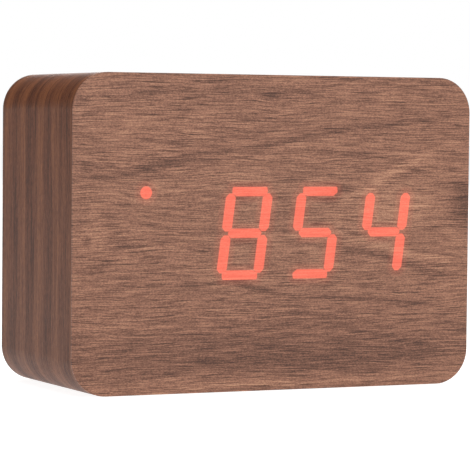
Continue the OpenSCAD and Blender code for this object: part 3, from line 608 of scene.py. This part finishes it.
def circuit_board(name, track_mm):
    """FR-4 with green solder resist: dark over bare glass-epoxy, lighter over the copper tracks."""
    tree, shader, place, _ = surface(name, "0d3a22", "14502f", 9, 0.34, 0.004, 0.25, ior=1.55)
    flat = add(tree, "ShaderNodeMapping", {
        "Vector": place, "Rotation": (math.radians(90), 0, 0), "Scale": [1 / MM] * 3})
    tracks = add(tree, "ShaderNodeTexBrick", {
        "Vector": flat, "Scale": 1.0, "Mortar Size": 0.16, "Mortar Smooth": 0.2,
        "Brick Width": track_mm * 7, "Row Height": track_mm}, offset=0.37, squash_frequency=3)
    copper = add(tree, "ShaderNodeMix", {
        "Factor": tracks.outputs["Fac"], "A": shader.inputs["Base Color"].links[0].from_socket,
        "B": linear("2b7a46")}, data_type="RGBA")
    tree.links.new(copper.outputs["Result"], shader.inputs["Base Color"])
    step = add(tree, "ShaderNodeBump", {
        "Height": tracks.outputs["Fac"], "Strength": 0.8, "Distance": 0.03 * MM,
        "Normal": shader.inputs["Normal"].links[0].from_socket})
    tree.links.new(step.outputs["Normal"], shader.inputs["Normal"])


circuit_board("display_board_resist", 1.9)
give(frame["nodes"]["display_board"], "display_board_resist")

# Clear epoxy over a red light chip, cast: glossy, tinted red and lit from inside.
tree, shader, _, cloud = surface("lit_red_epoxy", "c4271b", "ff5a3c", 0.6, 0.2, ior=1.5)
spark = add(tree, "ShaderNodeMapRange", {
    "Value": cloud, "From Min": 0.3, "From Max": 0.7, "To Min": 0.5, "To Max": 2.0})
shader.inputs["Emission Color"].default_value = linear("ff2a18")
tree.links.new(spark.outputs[0], shader.inputs["Emission Strength"])
give(frame["nodes"]["segment_leds"], "lit_red_epoxy")

# Black epoxy, transfer moulded: dull, with a sandy skin from the mould.
surface("black_moulded_epoxy", "131314", "1f1f21", 1.5, 0.6, 0.015, 0.08, ior=1.55)
for name in ["driver_chips", "display_resistors", "control_chip"]:
    give(frame["nodes"][name], "black_moulded_epoxy")

# Natural nylon 66, moulded: ivory and a little waxy.
surface("ivory_moulded_nylon", "d9cfb4", "ece4cc", 3, 0.42, 0.008, 0.3, ior=1.53)
for name in ["display_header", "control_header"]:
    give(frame["nodes"][name], "ivory_moulded_nylon")

# Steel screws with bright zinc plating: a thin bluish coat, cloudy from handling.
surface("zinc_plated_steel", "9fa4a8", "cfd2d2", 1.2, 0.32, 0.006, 0.1, metallic=1.0)
for name in ["display_screws", "board_screws"]:
    give(frame["nodes"][name], "zinc_plated_steel")

# Grey PVC ribbon, ten wires side by side: a round ridge over each wire, and one red edge.
WIRES = 10
ribbon_low, ribbon_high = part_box("ribbon_cable")
tree, shader, place, _ = surface("ribbed_vinyl_ribbon", "85888a", "9da0a1", 2.5, 0.45, ior=1.53)
split = add(tree, "ShaderNodeSeparateXYZ", {0: place})
run = add(tree, "ShaderNodeMapRange", {
    "Value": split.outputs["X"], "From Min": ribbon_low.x, "From Max": ribbon_high.x, "To Max": WIRES})
part = add(tree, "ShaderNodeMath", {0: run}, operation="FRACT")
ridge = add(tree, "ShaderNodeMath", {
    0: add(tree, "ShaderNodeMath", {0: part, 1: math.pi}, operation="MULTIPLY")}, operation="SINE")
first = add(tree, "ShaderNodeMath", {0: run, 1: 1.0}, operation="LESS_THAN")
edge = add(tree, "ShaderNodeMix", {
    "Factor": first, "A": shader.inputs["Base Color"].links[0].from_socket,
    "B": linear("a3322b")}, data_type="RGBA")
tree.links.new(edge.outputs["Result"], shader.inputs["Base Color"])
bump = add(tree, "ShaderNodeBump", {"Height": ridge, "Strength": 1.0, "Distance": 0.3 * MM})
tree.links.new(bump.outputs["Normal"], shader.inputs["Normal"])
give(frame["nodes"]["ribbon_cable"], "ribbed_vinyl_ribbon")


# ---- Control board -------------------------------------------------------------------------
# A second board on four posts of the rear cover, with the chip and clock crystal on its front
# and the switches, sounder, microphone, temperature probe and power inlet on its rear.

circuit_board("control_board_resist", 1.5)
give(frame["nodes"]["control_board"], "control_board_resist")

# Black PBT, moulded: the hard satin plastic of switches, sounders and cell holders.
surface("black_moulded_pbt", "0f0f10", "1b1b1d", 4, 0.46, 0.01, 0.2, ior=1.56)
for name in ["switch_bodies", "buzzer", "backup_holder", "usb_tongue"]:
    give(frame["nodes"][name], "black_moulded_pbt")

# Brown acetal plungers, moulded: slippery, with a soft shine.
surface("brown_moulded_acetal", "3a2a20", "4b382b", 2, 0.33, 0.005, 0.15, ior=1.48)
for name in ["set_plunger", "up_plunger", "down_plunger"]:
    give(frame["nodes"][name], "brown_moulded_acetal")

# Steel sheet with tin plating, folded: pale, soft-edged reflections with fine rolling lines.
surface("tin_plated_steel", "a9aaa8", "d6d6d2", 1.6, 0.28, 0.005, 0.12, metallic=1.0, stretch=(1, 0.2, 1))
for name in ["usb_socket", "clock_crystal"]:
    give(frame["nodes"][name], "tin_plated_steel")

# Aluminium can, drawn: brighter and finer than the steel.
surface("drawn_aluminium", "b9bbbd", "dddedf", 1.0, 0.25, 0.004, 0.07, metallic=1.0, stretch=(1, 0.15, 1))
give(frame["nodes"]["microphone"], "drawn_aluminium")

# Stainless steel cell can, turned over a rubber ring: faint round polishing marks.
surface("polished_stainless", "aeb0b0", "cfd0cf", 3.0, 0.22, 0.003, 0.1, metallic=1.0, stretch=(0.2, 1, 1))
give(frame["nodes"]["backup_cell"], "polished_stainless")

# PVC shrink sleeve on the capacitors: dark blue and glossy.
surface("blue_shrink_sleeve", "16233f", "203256", 2, 0.3, 0.004, 0.3, ior=1.53)
give(frame["nodes"]["capacitors"], "blue_shrink_sleeve")

# Epoxy bead of the temperature probe, dipped: glossy and slightly uneven.
surface("dipped_epoxy_bead", "1c1a17", "2d2a24", 1, 0.24, 0.02, 0.5, ior=1.55)
give(frame["nodes"]["thermistor"], "dipped_epoxy_bead")


# ---- Rear cover ----------------------------------------------------------------------------
# One moulding of black ABS, with the battery bay, the buttons' holes and the sound holes in it.
# Its outside has a spark-eroded texture, and four countersunk screws hold it to the case.

PIT_MM = 0.28


def moulded_abs(name, dark, light):
    """Black ABS from a spark-eroded mould: matt, finely pitted, a little greyer where it is handled."""
    tree, shader, place, cloud = surface(name, dark, light, 18, 0.5, ior=1.53)
    fine = add(tree, "ShaderNodeMapping", {"Vector": place, "Scale": [1 / (PIT_MM * MM)] * 3})
    pits = add(tree, "ShaderNodeTexVoronoi", {"Vector": fine, "Scale": 1.0}, feature="SMOOTH_F1")
    bump = add(tree, "ShaderNodeBump", {
        "Height": pits.outputs["Distance"], "Strength": 0.55, "Distance": 0.05 * MM})
    tree.links.new(bump.outputs["Normal"], shader.inputs["Normal"])
    gloss = add(tree, "ShaderNodeMapRange", {
        "Value": cloud, "From Min": 0.3, "From Max": 0.7, "To Min": 0.56, "To Max": 0.44})
    tree.links.new(gloss.outputs[0], shader.inputs["Roughness"])


def softened(node, width_mm, finish):
    """A copy of a CAD node with its edges rounded as a mould or a tumbler leaves them."""
    piece = object_from(frame["nodes"][node].data.copy(), node + "_rounded")
    merge(piece)
    round_edges(piece, width_mm)
    give(piece, finish)
    stands_for(piece, node)


moulded_abs("black_textured_abs", "161617", "1e1e20")
softened("back_cover", 0.12, "black_textured_abs")

# Steel screws with black zinc plating: darker in the recess, bright where the driver rubs.
surface("black_zinc_steel", "1d1d1f", "3a3a3d", 0.9, 0.36, 0.006, 0.1, metallic=1.0)
softened("cover_screws", 0.06, "black_zinc_steel")


# ---- Battery contacts and springs ----------------------------------------------------------
# Nickel-plated plates clip into the ends of the bay, and a conical spring presses on each cell.
# Two insulated leads run from the end plates up to the control board.

# Nickel-plated spring steel: warm, bright, with fine drawing lines.
surface("nickel_plated_steel", "a8a196", "d3cdc2", 1.4, 0.26, 0.005, 0.1, metallic=1.0, stretch=(1, 1, 0.2))
give(frame["nodes"]["battery_contacts"], "nickel_plated_steel")

SPRING_TURNS = 3
SPRING_MM = 3.6
SPRING_WIRE_MM = 0.5
SPRING_FOOT_MM, SPRING_TIP_MM = 3.4, 1.9
CELLS = 3

cells_low, cells_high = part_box("battery_cells")
cell_radius = (cells_high.y - cells_low.y) / 2
cell_pitch = (cells_high.z - cells_low.z - 2 * cell_radius) / (CELLS - 1)
cell_places = [
    Matrix.Translation((0, cells_low.y + cell_radius, cells_low.z + cell_radius + i * cell_pitch))
    @ Matrix.Rotation(math.radians(180 * (i % 2)), 4, "Z")
    for i in range(CELLS)
]


def at_cells(name):
    """A mesh of one vertex per cell, each with the turn of its cell: every second one faces the other way."""
    bm = bmesh.new()
    for place in cell_places:
        bm.verts.new(place.translation)
    holder = object_from(bm, name)
    turn = holder.data.attributes.new("turn", "FLOAT", "POINT")
    turn.data.foreach_set("value", [place.to_euler().z for place in cell_places])
    return holder


tree = bpy.data.node_groups.new("conical_springs", "GeometryNodeTree")
tree.interface.new_socket(name="Cells", in_out="INPUT", socket_type="NodeSocketGeometry")
for name in ["Foot", "Tip", "Length", "Wire", "Turns", "Start"]:
    tree.interface.new_socket(name=name, in_out="INPUT", socket_type="NodeSocketFloat")
tree.interface.new_socket(name="Finish", in_out="INPUT", socket_type="NodeSocketMaterial")
tree.interface.new_socket(name="Springs", in_out="OUTPUT", socket_type="NodeSocketGeometry")
given = add(tree, "NodeGroupInput").outputs
coil = add(tree, "GeometryNodeCurveSpiral", {
    "Resolution": 40, "Rotations": given["Turns"], "Start Radius": given["Foot"],
    "End Radius": given["Tip"], "Height": given["Length"]})
laid = add(tree, "GeometryNodeTransform", {
    "Geometry": coil, "Rotation": (0, math.radians(90), 0),
    "Translation": add(tree, "ShaderNodeCombineXYZ", {"X": given["Start"]})})
wire = add(tree, "GeometryNodeCurvePrimitiveCircle", {"Resolution": 10, "Radius": given["Wire"]})
spring = add(tree, "GeometryNodeCurveToMesh", {"Curve": laid, "Profile Curve": wire, "Fill Caps": True})
turn = add(tree, "GeometryNodeInputNamedAttribute", {"Name": "turn"}, data_type="FLOAT")
set_out = add(tree, "GeometryNodeInstanceOnPoints", {
    "Points": given["Cells"], "Instance": spring,
    "Rotation": add(tree, "ShaderNodeCombineXYZ", {"Z": turn})})
realized = add(tree, "GeometryNodeRealizeInstances", {0: set_out})
finished = add(tree, "GeometryNodeSetMaterial", {"Geometry": realized, "Material": given["Finish"]})
add(tree, "NodeGroupOutput", {0: finished})

spring_start = cells_low.x + SPRING_WIRE_MM / 2 * MM + 0.02 * MM
springs = at_cells("battery_springs_wound")
grow(springs, tree, Foot=SPRING_FOOT_MM * MM, Tip=SPRING_TIP_MM * MM,
     Length=(SPRING_MM - SPRING_WIRE_MM - 0.04) * MM, Wire=SPRING_WIRE_MM / 2 * MM, Turns=float(SPRING_TURNS),
     Start=spring_start, Finish=bpy.data.materials["nickel_plated_steel"])
for face in springs.data.polygons:
    face.use_smooth = True
stands_for(springs, "battery_springs")

# Soft PVC insulation, extruded: an even colour with a low shine.
surface("red_vinyl_insulation", "8f1a17", "a8231e", 5, 0.38, 0.004, 0.4, ior=1.53)
surface("black_vinyl_insulation", "131313", "1d1d1d", 5, 0.38, 0.004, 0.4, ior=1.53)
give(frame["nodes"]["positive_lead"], "red_vinyl_insulation")
give(frame["nodes"]["negative_lead"], "black_vinyl_insulation")


# ---- Battery cells -------------------------------------------------------------------------
# Three round dry cells, each a steel can in a printed shrink sleeve, laid end for end in turn.
# The sleeve is rolled over the shoulder, and the steel button and flat end are left bare.

CELL_BUTTON_RADIUS_MM, CELL_BUTTON_RISE_MM = 1.9, 0.9
CELL_START_MM, CELL_END_MM = -20.45, 23.15
SLEEVE_FIRST, SLEEVE_LAST = 4, 10
SIDES = 40
# Each point of the end is (radius, distance in from the end).
CELL_PROFILE_MM = [
    (0.0, 0.15), (2.9, 0.15), (3.1, 0.05), (3.4, 0.05), (3.6, 0.3), (4.15, 0.3), (4.3, 0.05),
    (4.75, 0.0), (5.1, 0.15), (5.25, 0.5),
]
tree, shader, _, _ = surface("printed_cell_sleeve", "1c3d33", "23493e", 9, 0.3, 0.004, 0.35, ior=1.53)
side = add(tree, "ShaderNodeAttribute", attribute_name="end").outputs["Fac"]
band = add(tree, "ShaderNodeMath", {0: side, 1: 0.70}, operation="GREATER_THAN")
line = add(tree, "ShaderNodeMath", {0: side, 1: 0.685, 2: 0.008}, operation="COMPARE")
silver = add(tree, "ShaderNodeMix", {
    "Factor": band, "A": shader.inputs["Base Color"].links[0].from_socket,
    "B": linear("b8bcba")}, data_type="RGBA")
white = add(tree, "ShaderNodeMix", {
    "Factor": line, "A": silver.outputs["Result"], "B": linear("eceeea")}, data_type="RGBA")
tree.links.new(white.outputs["Result"], shader.inputs["Base Color"])

button_top = CELL_END_MM + CELL_BUTTON_RISE_MM
profile = [(CELL_START_MM + x, r) for r, x in CELL_PROFILE_MM]
profile += [(CELL_END_MM - x, r) for r, x in reversed(CELL_PROFILE_MM[4:])]
profile += [(CELL_END_MM - 0.1, 2.6), (CELL_END_MM, 2.1), (CELL_END_MM + 0.1, CELL_BUTTON_RADIUS_MM)]
profile += [(button_top - 0.25, CELL_BUTTON_RADIUS_MM), (button_top, 1.65), (button_top, 0.0)]
bm = bmesh.new()
for place in cell_places:
    rounds = []
    for x, r in profile:
        count = SIDES if r > 0 else 1
        rounds.append([
            bm.verts.new(place @ Vector((
                x * MM, r * MM * math.cos(math.tau * k / SIDES), r * MM * math.sin(math.tau * k / SIDES),
            ))) for k in range(count)
        ])
    for i, (near, far) in enumerate(zip(rounds, rounds[1:])):
        sleeved = SLEEVE_FIRST <= i <= SLEEVE_LAST
        for k in range(SIDES):
            after = (k + 1) % SIDES
            corners = [near[k % len(near)], near[after % len(near)], far[after % len(far)], far[k % len(far)]]
            face = bm.faces.new(list(dict.fromkeys(corners)))
            face.material_index = 0 if sleeved else 1
            face.smooth = True
bmesh.ops.recalc_face_normals(bm, faces=bm.faces)
cells = object_from(bm, "battery_cells_sleeved")
ends = cells.data.attributes.new("end", "FLOAT", "POINT")
per_cell = len(cells.data.vertices) // CELLS
ends.data.foreach_set("value", [
    ((v.co.x if v.index // per_cell % 2 == 0 else -v.co.x) / MM - CELL_START_MM)
    / (CELL_END_MM - CELL_START_MM)
    for v in cells.data.vertices
])
give(cells, "printed_cell_sleeve", "nickel_plated_steel")
stands_for(cells, "battery_cells")


# ---- Battery door --------------------------------------------------------------------------
# A black ABS lid with two hooks at its foot and a springy tongue with grip ribs at its top.

moulded_abs("black_door_abs", "171718", "212123")
softened("battery_door", 0.12, "black_door_abs")


# ---- Buttons -------------------------------------------------------------------------------
# Three round ABS buttons that rest on the switches' plungers, each with a sunken mark.

# Black ABS, moulded and worn a little shiny on top by fingers.
surface("black_satin_abs", "1a1a1c", "29292c", 2.5, 0.38, 0.012, 0.2, ior=1.53)
for name in ["set_button", "up_button", "down_button"]:
    softened(name, 0.06, "black_satin_abs")


# ---- Floor, light and camera ---------------------------------------------------------------
# A white table top under soft studio light: a large softbox above, one in front and a weak fill.

FLOOR_M = 6.0
# Opal acrylic table, lit from below: an even white that drowns the object's own shadow.
tree, shader = new_material("lit_opal_table", "8a8a89", 0.6)
shader.inputs["Emission Color"].default_value = (1, 1, 1, 1)
shader.inputs["Emission Strength"].default_value = 0.92
bm = bmesh.new()
bmesh.ops.create_grid(bm, x_segments=1, y_segments=1, size=FLOOR_M)
table = object_from(bm, "table_top")
give(table, "lit_opal_table")


def softbox(name, place, aim, size, power):
    """A square white area light that faces a point."""
    lamp = bpy.data.lights.new(name, "AREA")
    lamp.size = size
    lamp.energy = power
    holder = bpy.data.objects.new(name, lamp)
    holder.location = place
    holder.rotation_euler = (Vector(aim) - Vector(place)).to_track_quat("-Z", "Y").to_euler()
    bpy.context.scene.collection.objects.link(holder)


softbox("top_softbox", (0.1, 0.1, 1.3), (0, 0, 0.03), 1.6, 24)
softbox("front_softbox", (0.45, -1.3, 0.45), (0, 0, 0.03), 0.9, 6.2)
softbox("left_fill", (-1.3, -0.2, 0.4), (0, 0, 0.03), 0.8, 1.2)
softbox("rear_softbox", (1.0, 1.5, 0.8), (0, 0, 0.03), 1.2, 12)

world = bpy.data.worlds.new("studio")
bpy.context.scene.world = world
world.use_nodes = True
backdrop = world.node_tree.nodes["Background"]
backdrop.inputs["Color"].default_value = (1, 1, 1, 1)
seen = add(world.node_tree, "ShaderNodeLightPath").outputs["Is Camera Ray"]
level = add(world.node_tree, "ShaderNodeMapRange", {"Value": seen, "To Min": 0.15, "To Max": 1.0})
world.node_tree.links.new(level.outputs[0], backdrop.inputs["Strength"])
bpy.context.scene.view_settings.view_transform = "Standard"

camera = bpy.data.objects.new("camera", bpy.data.cameras.new("camera"))
camera.data.lens = 200.1
camera.data.sensor_width = 36.0
camera.matrix_world = (
    Matrix.Translation((-0.2629, -0.5523, 0.0603))
    @ Matrix.Rotation(math.radians(-25.44), 4, "Z")
    @ Matrix.Rotation(math.radians(90 - 2.43), 4, "X")
    @ Matrix.Rotation(math.radians(0.53), 4, "Z")
)
bpy.context.scene.collection.objects.link(camera)
bpy.context.scene.camera = camera
